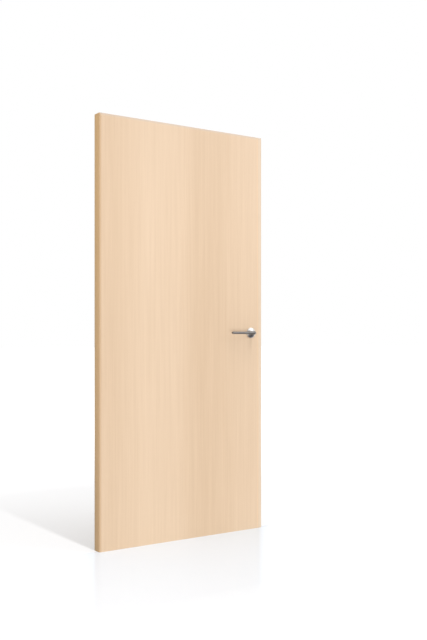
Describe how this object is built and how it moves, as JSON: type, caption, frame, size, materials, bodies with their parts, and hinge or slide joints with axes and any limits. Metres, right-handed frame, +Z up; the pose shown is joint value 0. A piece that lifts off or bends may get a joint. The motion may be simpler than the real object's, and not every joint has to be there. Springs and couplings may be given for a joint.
{
  "type": "flush hollow core door leaf with lever handles",
  "caption": "Flush wood-veneered hollow core door leaf with a lever on a round domed rose on each face and a sprung latch in the lock edge.",
  "frame": {"origin": "on the hinge edge's face, at mid thickness and at the leaf's foot", "axes": "+X from the hinge edge to the lock edge, +Y from the front face to the back face, +Z up"},
  "size_m": [0.926, 0.159, 1.981],
  "materials": {
    "face_veneer": "satin lacquered pale maple veneer",
    "edge_wood": "satin lacquered maple strip",
    "hardboard": "sawn hardboard edge",
    "frame_wood": "sawn softwood",
    "core_paper": "kraft paper",
    "satin_steel": "satin stainless steel",
    "plated_steel": "dull zinc plate"
  },
  "bodies": {
    "leaf": {"hinge_stile": "frame_wood", "lock_stile": "frame_wood", "top_rail": "frame_wood", "bottom_rail": "frame_wood", "lock_block": "frame_wood", "honeycomb_core": "core_paper", "front_skin": "hardboard", "back_skin": "hardboard", "front_veneer_hinge_leaf": "face_veneer", "front_veneer_lock_leaf": "face_veneer", "back_veneer_hinge_leaf": "face_veneer", "back_veneer_lock_leaf": "face_veneer", "hinge_lipping": "edge_wood", "lock_lipping": "edge_wood", "latch_case": "plated_steel", "latch_forend": "satin_steel", "latch_bolt": "satin_steel", "front_rose": "satin_steel", "back_rose": "satin_steel", "front_rose_base": "plated_steel", "back_rose_base": "plated_steel", "rose_bolts": "plated_steel"},
    "lever_set": {"front_lever": "satin_steel", "back_lever": "satin_steel", "spindle": "plated_steel", "latch_follower": "plated_steel"}
  },
  "joints": [
    {"name": "lever_turn", "type": "hinge", "parent": "leaf", "child": "lever_set", "pos_m": [0.844, 0, 0.99], "axis": [0, -1, 0], "range_deg": [0, 40], "stiffness_Nm_per_rad": 1.2, "springref_deg": -28.65}
  ]
}
